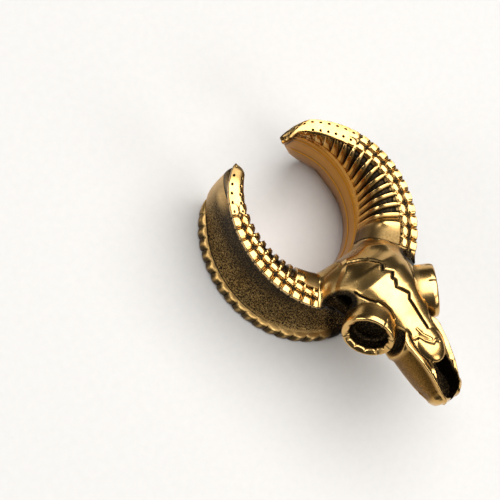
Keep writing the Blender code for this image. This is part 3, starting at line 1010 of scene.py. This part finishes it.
@dataclass
class Socket(Piece):
    """An eye socket: an oval tube with a thick round rim and a nicked inner edge."""

    centre: tuple[float, float, float] = (6.8, -18.8, 17.6)
    yaw: float = 29.0
    lift: float = 20.0
    half_axes: tuple[float, float] = (4.0, 4.0)
    rim: float = 1.05
    depth: float = 2.4
    length: float = 4.4
    nicks: int = 13
    cracks: tuple[float, ...] = (1.75, 2.6, 3.1, 3.75, 5.6)  # radians round the rim
    recess_scale: float = 1.3  # the hollow round it, beside its own size
    recess_level: float = -1.9

    def axes(self, sign: int) -> tuple[Array, Array, Array]:
        """Unit vectors out of the socket, along the head and up.

        Args:
            sign: 1 for the left socket and -1 for the right one.

        Returns:
            The three vectors, which come from the yaw and the lift.
        """
        yaw, lift = math.radians(self.yaw), math.radians(self.lift)
        level = math.cos(lift)
        out = np.array([sign * level * math.cos(yaw), -level * math.sin(yaw), math.sin(lift)])
        along = np.cross(out, (0.0, 0.0, 1.0))
        along /= np.linalg.norm(along)
        up = np.cross(along, out)
        return out, along, up * np.sign(up[2])

    def build(self, arm: Arm) -> Thing:
        """Builds the socket on one side of the skull.

        The section is a broken line from the tube's root over the rim and down to the floor of
        the hole, carried round an ellipse. The nicks are cushions round the inner edge.

        Args:
            arm: the arm on that side.

        Returns:
            The object.
        """
        turn = np.linspace(0.0, 2 * math.pi, 300, endpoint=False)[None, :]
        inner = 1.0 - self.rim / self.half_axes[0]
        low, floor = -self.length, -self.depth
        corners = np.array(
            [
                (0.80, low), (1.0, low + 0.3), (1.0, -0.7), (0.97, -0.2), (0.91, 0.0), (0.85, -0.08),
                (inner + 0.03, -0.35), (inner, -0.6), (inner - 0.02, floor + 0.3), (inner - 0.12, floor),
                (0.02, floor - 0.1),
            ]
        )
        places = np.concatenate([[0.0], np.cumsum(np.hypot(*(np.diff(corners, axis=0) * (4.3, 1.0)).T))])
        fine = np.linspace(0.0, places[-1], 170)
        size = np.interp(fine, places, corners[:, 0])[:, None]
        level = np.interp(fine, places, corners[:, 1])[:, None]
        kernel = np.hanning(9) / np.hanning(9).sum()
        size[4:-4, 0] = np.convolve(size[:, 0], kernel, "valid")
        level[4:-4, 0] = np.convolve(level[:, 0], kernel, "valid")
        nick = phase(turn * self.nicks / (2 * math.pi))
        cracks = sum(bump(turn, place, 0.035) for place in self.cracks) * smooth_step(level, -1.6, -0.9)
        at_edge = bump(size, inner + 0.01, 0.06) * smooth_step(level, -1.1, -0.5)
        size = size + 0.035 * at_edge * (1.0 - 2.0 * pillow(nick)) - 0.03 * cracks * (size > inner)
        out, along, up = self.axes(arm.sign)
        centre = np.array(self.centre) * (arm.sign, 1, 1)
        half_along, half_up = self.half_axes
        oval = half_along * np.cos(turn)[..., None] * along + half_up * np.sin(turn)[..., None] * up
        skin = Skin(centre + level[..., None] * out + size[..., None] * oval)
        inside = smooth_step(-level, 0.35, 0.8) * (size < inner + 0.04)
        root = smooth_step(-level, 2.0, 3.2) * (size > 0.9)
        hollow = smooth_step(skin.hollows(4), 0.01, 0.05)
        skin.marks["patina_and_painted_light"] = most(inside, 0.7 * root, hollow, 0.9 * cracks)
        skin.marks["grain"] = 0.35 * inside
        return self.put(f"eye_socket_{arm.name}", [skin], "skull_brass", f"eye_socket_{arm.name}")


@dataclass
class Skull(Piece):
    """The skull without its sockets, and the bony collar that joins it to the horn roots."""

    # y, half width, top, level of the greatest width, underside
    stations: Route = (
        (-8.6, 3.2, 16.4, 12.5, 9.4), (-9.6, 4.9, 18.2, 12.5, 9.2), (-11.0, 5.9, 19.9, 13.0, 9.0),
        (-13.0, 6.2, 20.9, 14.2, 9.0), (-15.5, 5.7, 21.3, 15.5, 10.0), (-18.5, 4.9, 21.0, 16.2, 11.6),
        (-21.0, 4.5, 20.5, 16.2, 12.0), (-23.5, 4.5, 20.2, 15.8, 12.0), (-26.0, 4.2, 19.9, 15.5, 11.9),
        (-28.5, 3.95, 19.0, 15.5, 11.9), (-30.2, 3.6, 18.0, 15.4, 12.0),
        (-31.6, 3.05, 17.2, 15.2, 12.0), (-32.6, 2.4, 16.4, 15.0, 12.2), (-33.2, 1.4, 15.6, 14.6, 12.6),
    )
    roundness: float = 2.3
    rows: int = 300
    columns: int = 250
    upper_share: float = 0.68  # of the columns, which run over the upper half
    collar_rows: int = 120
    collar_columns: int = 70  # on each side of its section
    crown_seam: Route = (
        (0.1, -9.9), (0.6, -10.7), (0.7, -11.3), (0.0, -12.0), (0.9, -13.0), (0.25, -13.7),
        (0.5, -14.1), (-0.15, -15.1), (1.1, -16.9), (0.55, -17.6), (0.8, -22.4),
    )
    back_seam: Route = (
        (5.5, -8.2, 15.4), (5.1, -8.2, 15.9), (3.7, -8.3, 16.9), (2.1, -8.4, 17.4), (0.8, -9.0, 17.9),
        (0.1, -9.9, 18.5),
    )
    root_crack: Route = (
        (2.4, -7.1, 13.8), (2.9, -7.6, 15.2), (3.1, -7.9, 15.9), (3.3, -8.3, 16.8), (4.4, -8.2, 15.9),
        (5.6, -8.2, 14.4),
    )
    brow_seam: Route = (
        (5.0, -12.4, 18.8), (4.8, -13.3, 19.2), (4.2, -14.5, 19.7), (3.8, -15.1, 20.0),
        (3.5, -15.4, 20.2), (3.2, -16.2, 20.4), (2.8, -17.4, 20.4), (2.9, -18.6, 20.2),
    )
    nose_edge: Route = (
        (2.6, -20.7), (2.75, -23.0), (2.4, -25.4), (1.85, -29.2), (1.5, -31.5), (1.0, -32.9),
    )
    curls: tuple[Route, ...] = (
        (
            (-2.1, -22.6), (-1.3, -22.7), (-0.9, -23.7), (-0.4, -24.3),
            (0.1, -24.7), (0.5, -24.5), (1.0, -24.7),
        ),
        ((-0.9, -21.6), (-0.6, -22.9), (0.1, -24.1)),
    )
    cheek_lines: tuple[Route, ...] = (
        ((3.6, -24.5, 17.6), (3.3, -26.5, 17.4), (2.9, -29.0, 16.6)),
        ((4.2, -27.0, 14.2), (3.6, -29.5, 13.9), (2.7, -31.6, 13.8)),
    )
    pit_centre: tuple[float, float, float] = (6.6, -12.9, 14.0)
    pit_half: tuple[float, float, float] = (2.0, 1.9, 4.6)
    bone_centre: tuple[float, float, float] = (0.0, -23.9, 19.2)
    bone_half: tuple[float, float, float] = (2.35, 3.6, 1.25)
    # y, half width and floor of the nasal opening
    opening: Route = (
        (-26.3, 0.0, 15.4), (-27.2, 1.35, 15.2), (-28.8, 1.5, 14.7), (-30.2, 1.85, 14.3),
        (-31.6, 1.7, 13.9), (-32.5, 1.1, 13.7), (-32.9, 0.25, 13.5), (-33.7, 0.25, 13.3),
    )
    fillet: float = 3.2  # radius over which the head and the collar flow together
    seam_width: float = 0.17  # from its middle, as for the curls and lines below
    seam_depth: float = 0.36
    plate_depth: float = 0.42
    curl_width: float = 0.14
    curl_height: float = 0.16
    line_width: float = 0.1
    line_height: float = 0.26
    # the patina's strength on the cheek plates, and where the brass is brown and not black
    plate_black: float = 0.66
    brown: float = 0.42

    def section_at(self, y: Array) -> tuple[Array, Array, Array, Array]:
        """Half width, top, level of the greatest width and underside at places along the head.

        Args:
            y: the places.

        Returns:
            The four measures, smoothed between the stations.
        """
        table = np.array(self.stations)
        fine = np.arange(-table[0, 0], -table[-1, 0] + 0.04, 0.08)
        window = np.hanning(13) / np.hanning(13).sum()
        values = []
        for column in range(1, 5):
            plain = np.interp(fine, -table[:, 0], table[:, column])
            lead, trail = 2 * plain[0] - plain[6:0:-1], 2 * plain[-1] - plain[-2:-8:-1]
            smooth = np.convolve(np.concatenate([lead, plain, trail]), window, "valid")
            values.append(np.interp(-y, fine, smooth))
        return tuple(values)

    def head(self) -> tuple[Skin, Array]:
        """The bare head: superellipses through the stations, with a quarter round at each end.

        Returns:
            The surface, and how far round its section each column lies, in radians.
        """
        first, last = self.stations[0][0], self.stations[-1][0]
        y = np.linspace(first, last, self.rows)[:, None]
        half, top, level, under = self.section_at(y)
        even = np.linspace(0.0, 1.0, self.columns, endpoint=False)[None, :]
        turn = np.interp(even, (0.0, self.upper_share, 1.0), (0.0, math.pi, 2 * math.pi))
        power = 2.0 / self.roundness
        x = np.sign(np.cos(turn)) * np.abs(np.cos(turn)) ** power
        z = np.sign(np.sin(turn)) * np.abs(np.sin(turn)) ** power
        height = np.where(z > 0, level + z * (top - level), level + z * (level - under))
        closing = pillow(np.clip(1.0 - (y - last) / 0.5, 0.0, 0.97))
        middle = level - 0.2
        points = np.stack([half * x * closing, y + 0 * x, middle + (height - middle) * closing], axis=2)
        return Skin(points), turn

    def superellipse(self, points: Array) -> Array:
        """The function that is 0 on the bare head and grows outwards.

        Args:
            points: an array whose last axis is x, y and z.

        Returns:
            The root of the sum of the powers of x and z, each over the section's size, less 1.
        """
        half, top, level, under = self.section_at(points[..., 1])
        tall = np.where(points[..., 2] > level, top - level, level - under)
        across = np.abs(points[..., 0] / half) ** self.roundness
        upright = np.abs((points[..., 2] - level) / tall) ** self.roundness
        return (across + upright + 1e-9) ** (1.0 / self.roundness) - 1.0

    def from_head(self, points: Array) -> Array:
        """How far points lie outside the bare head.

        Args:
            points: an array whose last axis is x, y and z.

        Returns:
            The superellipse's function over its own slope, and past the back of the head the
            root of the squares of that and of the distance behind it.
        """
        step = 0.05
        slope = [
            self.superellipse(points + step * axis) - self.superellipse(points - step * axis)
            for axis in np.eye(3)
        ]
        steep = np.sqrt(sum(part**2 for part in slope)) / (2 * step)
        beside = self.superellipse(points) / np.maximum(steep, 0.05)
        behind = np.maximum(points[..., 1] - self.stations[0][0], 0.0)
        return np.where(behind > 0, np.hypot(np.maximum(beside, 0.0), behind), beside)

    def from_collar(self, points: Array) -> Array:
        """How far points lie outside the collar.

        Args:
            points: an array whose last axis is x, y and z.

        Returns:
            The distance to the nearest of the collar's points at the same angle, below 0 where a
            line outwards crosses the section an odd number of times.
        """
        x, y, z = np.moveaxis(points, -1, 0)
        angle = np.clip(np.degrees(np.arctan2(x, -y)), -38.0, 38.0)[..., None]
        sides = self.collar_section(angle, np.linspace(0.0, 1.0, 36))
        ring = np.concatenate([sides[0], sides[1][..., ::-1, :]], axis=-2)
        radius = np.hypot(x, y)[..., None]
        away = np.hypot(ring[..., 0] - radius, ring[..., 1] - z[..., None]).min(axis=-1)
        after = np.roll(ring, -1, axis=-2)
        spans = (ring[..., 1] > z[..., None]) != (after[..., 1] > z[..., None])
        rise = np.where(spans, after[..., 1] - ring[..., 1], 1.0)
        crossing = ring[..., 0] + (z[..., None] - ring[..., 1]) / rise * (after[..., 0] - ring[..., 0])
        inside = (spans & (crossing > radius)).sum(axis=-1) % 2 == 1
        return np.where(inside, -away, away)

    def filled(self, distance: Array) -> Array:
        """How far a surface moves out beside another one, so that the two flow together.

        Args:
            distance: how far each point lies from the other surface.

        Returns:
            The height of the smooth union's surface, r/4 (1 - w/r)^2 for w, the difference of
            the two distances, up to the fillet's reach r.
        """
        w = np.linspace(0.0, self.fillet, 60)
        t = self.fillet / 4 * (1.0 - w / self.fillet) ** 2
        near = 0.7 * self.fillet / 4  # where the two surfaces have met, and this one stays inside
        places = np.concatenate([[-9.0, near], w + t])
        return np.interp(distance, places, np.concatenate([[self.fillet / 2 - near] * 2, t]))

    def bones(self, points: Array, upper: Array) -> tuple[Array, dict[str, Array]]:
        """Relief of the head: seams, the nose's edge, cheek plates and curls.

        Args:
            points: the smooth head's points.
            upper: which of them lie on its upper half.

        Returns:
            The height, a sum of bells along broken lines and steps between them, and how strong
            the seams, the plates and the undersides of the curls are, 0 to 1.
        """
        x, y, z = np.moveaxis(points, 2, 0)
        side = np.abs(x)
        mirrored = np.stack([side, y, z], axis=2)
        edge = np.interp(-y, [-p[1] for p in self.nose_edge], [p[0] for p in self.nose_edge])
        nose = smooth_step(-y, 20.5, 22.5) * (upper & (self.bone_rise(points) < 0.02))
        height = -0.3 * nose * bump(side, edge - 0.35, 0.28) * (1 - smooth_step(-y, 27.5, 28.5))
        height += 0.22 * smooth_step(-y, 21.0, 23.0) * upper * bump(side, edge + 0.25, 0.2)
        flat = points[..., :2]
        plate = smooth_step(side, edge + 0.35, edge + 0.8) * smooth_step(z, 12.7, 13.3)
        plate = plate * between(-y, (23.0, 24.2), (31.0, 32.0))
        seams = most(
            bump(to_line(flat, self.crown_seam), 0, self.seam_width) * (upper & (z > 17.5)),
            bump(to_line(mirrored, self.back_seam), 0, self.seam_width) * (x < 0.2),
            bump(to_line(points, self.root_crack), 0, self.seam_width),
            bump(to_line(mirrored, self.brow_seam), 0, self.seam_width - 0.01),
        )
        curls = most(*(bump(to_line(flat, curl), 0, self.curl_width) for curl in self.curls)) * upper
        under_curls = bump(to_line(flat + (0.0, 0.32), self.curls[0]), 0, 0.12) * upper
        lines = sum(bump(to_line(mirrored, line), 0, self.line_width) for line in self.cheek_lines)
        height += self.curl_height * curls - self.plate_depth * plate - self.seam_depth * seams
        height += self.line_height * lines - 0.12 * under_curls
        return height, {"seams": seams, "plate": plate, "lines": lines, "under_curls": under_curls}

    def bone_rise(self, points: Array) -> Array:
        """1 over the middle of the nasal bones' round end, 0 at its edge and negative outside it."""
        x, y = points[..., 0], points[..., 1]
        return 1.0 - (x / self.bone_half[0]) ** 2 - ((y - self.bone_centre[1]) / self.bone_half[1]) ** 2

    def moated(self, skin: Skin, socket: Socket) -> tuple[Skin, Array]:
        """Pushes a surface in round each socket and under it.

        Args:
            skin: the surface.
            socket: the sockets' sizes.

        Returns:
            The new surface, and how deep each point went, in millimetres.
        """
        out, along, up = socket.axes(1)
        turned = np.sign(skin.points[..., :1]) * (1.0, 0.0, 0.0) + (0.0, 1.0, 1.0)
        apart = skin.points * turned - np.array(socket.centre)
        ring = np.hypot(apart @ along / socket.half_axes[0], apart @ up / socket.half_axes[1])
        moat = 1 - smooth_step(ring, socket.recess_scale - 0.06, socket.recess_scale + 0.04)
        within = 1 - smooth_step(ring, 0.86, 0.95)
        level = socket.recess_level - (socket.depth + 0.9 + socket.recess_level) * within
        deep = np.maximum(apart @ out - level, 0.0) * moat
        return Skin(skin.points - deep[..., None] * (turned * out)), deep

    def shaped_head(self, socket: Socket) -> Skin:
        """The skull with its seams, nose, cheek plates, pits and the hollows round the sockets.

        Args:
            socket: the sockets' sizes.

        Returns:
            The surface with its marks.
        """
        skin, turn = self.head()
        near = (skin.points[..., 1] > -16.5)[:, 0]
        fill = np.zeros(skin.points.shape[:2])
        fill[near] = self.filled(self.from_collar(skin.points[near]))
        skin = skin.raised(fill)
        upper = np.sin(turn) > 0
        cap = self.bone_rise(skin.points)
        cap_z = self.bone_centre[2] + self.bone_half[2] * np.sqrt(np.clip(cap, 0.0, 1.0))
        z = skin.points[..., 2]
        skin.points[..., 2] = np.where(upper & (cap > 0) & (cap_z > z), cap_z, z)
        height, strength = self.bones(skin.points, upper)
        skin, deep = self.moated(skin.raised(height), socket)
        skin, pit = skin.sunk(self.pit_centre, self.pit_half)
        x, y, z = np.moveaxis(skin.points, 2, 0)
        side = np.abs(x)
        table = np.array(self.opening)
        mouth = np.interp(-y, -table[:, 0], table[:, 1])
        floor = np.interp(-y, -table[:, 0], table[:, 2])
        in_front = upper * (-y > 26.4) * (cap < 0)
        opening = smooth_step(mouth - side, -0.05, 0.2) * in_front
        skin = Skin(np.stack([x, y, z + opening * (np.minimum(floor, z) - z)], axis=2))
        moated = smooth_step(deep, 0.1, 0.5)
        behind = smooth_step(side, 3.4, 5.2) * smooth_step(y, -14.0, -10.5)
        skin.marks["patina_and_painted_light"] = most(
            smooth_step(strength["seams"], 0.08, 0.36),
            moated,
            smooth_step(mouth - side, -0.14, -0.02) * in_front,
            pit,
            self.near_pit(skin),
            0.7 * strength["under_curls"],
            self.brown * behind,
            smooth_step(skin.hollows(4), 0.012, 0.06),
            (self.plate_black - 0.6 * strength["lines"]) * strength["plate"],
        )
        plate = 0.4 * strength["plate"] * (1 - opening)
        skin.marks["grain"] = most(plate, 0.35 * opening, 0.5 * moated, 0.2 * pit, 0.3 * behind)
        skin.marks["amber_tone_and_painted_reflection"] = 0.7 * strength["plate"]
        return skin

    def collar_section(self, angle: Array, q: Array) -> list[Array]:
        """Both sides of the collar's section, as radius and height.

        Args:
            angle: angles from the head, with 1 as their last axis.
            q: places along a side.

        Returns:
            The two horns' root sections, mixed by the angle and stretched up towards the head.
        """
        turn = np.abs(angle)
        share = 0.5 - 0.5 * smooth_step(turn, 0.0, LEFT.saddle.root_angle)
        share = np.where(angle > 0, share, 1.0 - share)
        rise = LEFT.saddle.collar_rise * (1.0 - smooth_step(turn, *LEFT.saddle.rise_angles))
        low = LEFT.lip_at(turn)[1]
        high = (1 - share) * LEFT.front_at(turn)[1] + share * RIGHT.front_at(turn)[1]
        sides = []
        for name in ("horn_face", "horn_side"):
            left, right = (getattr(arm, name)(turn + 0 * q, q) for arm in (LEFT, RIGHT))
            radius, height = (a + share * (b - a) for a, b in zip(left, right))
            sides.append(np.stack([radius, height + rise * (height - low) / (high - low)], axis=-1))
        return sides

    def collar(self) -> Skin:
        """The collar: the horns' own section carried under the head from root to root.

        Returns:
            The surface with its marks.
        """
        reach = LEFT.saddle.root_angle + 0.4
        angle = np.linspace(-reach, reach, self.collar_rows)[:, None]
        q = np.linspace(0.0, 1.0, self.collar_columns)[None, :]
        sides = self.collar_section(angle, q)
        ring = np.concatenate([sides[0], sides[1][:, ::-1]], axis=1)
        skin = Skin(placed(angle, ring[..., 0], ring[..., 1], 1), zipped=True)
        away = self.from_head(skin.points)
        q = np.concatenate([q, q[:, ::-1]], axis=1)
        outside = np.arange(2 * self.collar_columns)[None, :] >= self.collar_columns
        groove = outside * (1.0 - smooth_step(q, 0.55, 0.65))
        turn = np.abs(angle)
        root = smooth_step(turn, reach - 5.0, reach)
        crack = bump(to_line(skin.points, self.root_crack), 0, 0.25)
        height = self.filled(away) * (1.0 - root) - 0.1 - 0.3 * crack
        skin, pit = skin.raised(height).sunk(self.pit_centre, self.pit_half)
        skin.marks["grain"] = most(groove, 0.2 * pit, 0.3 * (1.0 - root))
        brown = self.brown * between(turn, (12.0, 20.0), (30.0, 38.0))
        black = smooth_step(crack, 0.1, 0.4)
        skin.marks["patina_and_painted_light"] = most(0.8 * groove, brown, self.near_pit(skin), pit, black)
        return skin

    def near_pit(self, skin: Skin) -> Array:
        """How black the surface is left round the temple pits: fading out at 1.5 times their size.

        Args:
            skin: the surface.

        Returns:
            1 at a pit and 0 away from it.
        """
        points = skin.points.copy()
        points[..., 0] = np.abs(points[..., 0])
        away = (points - self.pit_centre) / self.pit_half
        return 1.0 - smooth_step(np.linalg.norm(away, axis=2), 1.2, 1.5)

    def build(self, socket: Socket) -> Thing:
        """Builds the skull round its two sockets."""
        return self.put("skull", [self.shaped_head(socket), self.collar()], "skull_brass", "braincase")


@dataclass
class Studio:
    """The floor, the lights and the camera of the photograph's view."""

    place: Array
    toward: Array = field(default_factory=lambda: np.array((-0.43159, -0.03927, 0.90121)))
    upward: Array = field(default_factory=lambda: np.array((0.49637, 0.82387, 0.27361)))
    rightward: Array = field(default_factory=lambda: np.array((0.75322, -0.56542, 0.33608)))
    offset: tuple[float, float, float] = (5.4012, 1.4973, 20.1084)  # of the C's axis, in the view
    distance: float = 340.0
    scale: float = 6.17905  # pixels to a millimetre at that distance
    picture: float = 500.0
    sensor: float = 36.0
    light_distance: float = 0.5  # in metres, as the lights' sizes and the floor's are
    floor_half: float = 3.0
    floor_grains: float = 0.9  # to a millimetre
    floor_colours: tuple[str, str] = ("#b3b1ae", "#b9b7b4")
    air: str = "#8c8e92"
    air_strength: float = 0.12

    def camera(self) -> None:
        """Sets the camera where the photograph was taken from, turned as it was held."""
        data = bpy.data.cameras.new("photo_view")
        data.sensor_width = self.sensor
        data.lens = self.scale * self.distance / self.picture * self.sensor
        data.clip_start, data.clip_end = 0.01, 20.0
        axes = np.stack([self.rightward, self.upward, self.toward])
        spot = axes.T @ (np.array((0.0, 0.0, self.distance)) - np.array(self.offset)) + self.place
        thing = bpy.data.objects.new("photo_view", data)
        turn = Matrix([list(row) for row in axes.T]).to_4x4()
        thing.matrix_world = Matrix.Translation(Vector(spot * MM)) @ turn
        bpy.context.scene.collection.objects.link(thing)
        bpy.context.scene.camera = thing

    def softbox(self, name: str, direction: tuple[float, float, float], size: float, power: float) -> None:
        """Hangs a square soft light.

        Args:
            name: its name.
            direction: where it hangs, as seen from the object.
            size: its side, in metres.
            power: in watts.
        """
        data = bpy.data.lights.new(name, "AREA")
        data.shape = "SQUARE"
        data.size = size
        data.energy = power
        way = Vector(direction).normalized()
        thing = bpy.data.objects.new(name, data)
        thing.location = way * self.light_distance + Vector((0.0, 0.0, 0.01))
        thing.rotation_mode = "QUATERNION"
        thing.rotation_quaternion = way.to_track_quat("Z", "Y")
        bpy.context.scene.collection.objects.link(thing)

    def floor(self) -> None:
        """Lays a wide, pale, matt floor under the back face that the hanger rests on."""
        mesh = bpy.data.meshes.new("floor")
        half = self.floor_half
        corners = [(-half, -half, 0.0), (half, -half, 0.0), (half, half, 0.0), (-half, half, 0.0)]
        mesh.from_pydata(corners, [], [(0, 1, 2, 3)])
        material = bpy.data.materials.new("pale_matt_board")
        material.use_nodes = True
        tree = material.node_tree
        shader = tree.nodes["Principled BSDF"]
        shader.inputs["Roughness"].default_value = 0.8
        place = add_node(tree, "ShaderNodeTexCoord").outputs["Object"]
        links = {"Vector": place, "Scale": self.floor_grains / MM}
        grain = add_node(tree, "ShaderNodeTexNoise", links).outputs[0]
        colour = AntiquedBrass.mixed(tree, grain, *(linear(c) for c in self.floor_colours))
        tree.links.new(colour, shader.inputs["Base Color"])
        mesh.materials.append(material)
        thing = bpy.data.objects.new("floor", mesh)
        bpy.context.scene.collection.objects.link(thing)

    def build(self) -> None:
        """Lays the floor, hangs the lights and sets the camera."""
        self.floor()
        self.softbox("key", (0.2, 0.05, 0.97), 0.66, 7.1)
        self.softbox("left", (-0.85, 0.35, 0.45), 0.2, 0.8)
        self.softbox("front", (0.1, -0.85, 0.6), 0.2, 0.6)
        world = bpy.data.worlds.new("studio")
        world.use_nodes = True
        back = world.node_tree.nodes["Background"]
        back.inputs["Color"].default_value = linear(self.air)
        back.inputs["Strength"].default_value = self.air_strength
        bpy.context.scene.world = world
        bpy.context.scene.view_settings.view_transform = "Standard"
        self.camera()


def axis_place() -> Array:
    """Where the axis of the C stands in the frame: midway between the sockets, behind the muzzle.

    Returns:
        The place in millimetres.
    """
    _, high_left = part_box("eye_socket_left")
    low_right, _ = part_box("eye_socket_right")
    muzzle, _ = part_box("braincase")
    x = (high_left.x + low_right.x) / 2 / MM
    y = muzzle.y / MM - Skull.stations[-1][0]
    return np.array((x, y, 0.0))


def main() -> None:
    """Builds the hanger piece by piece, then the studio round it."""
    logging.basicConfig(level=logging.INFO, format="%(name)s: %(message)s")
    mirror = AntiquedBrass("antiqued_brass_mirror_buffed", Polish.MIRROR).material()
    soft = AntiquedBrass("antiqued_brass_soft_buffed", Polish.SOFT).material()
    satin = AntiquedBrass("antiqued_brass_satin", Polish.SATIN).material()
    place = axis_place()
    socket = Socket(mirror, place)
    Skull(mirror, place).build(socket)
    for arm in (LEFT, RIGHT):
        socket.build(arm)
        Horn(soft, place).build(arm)
        Wall(satin, place).build(arm)
    Studio(place).build()


if __name__ == "__main__":
    main()
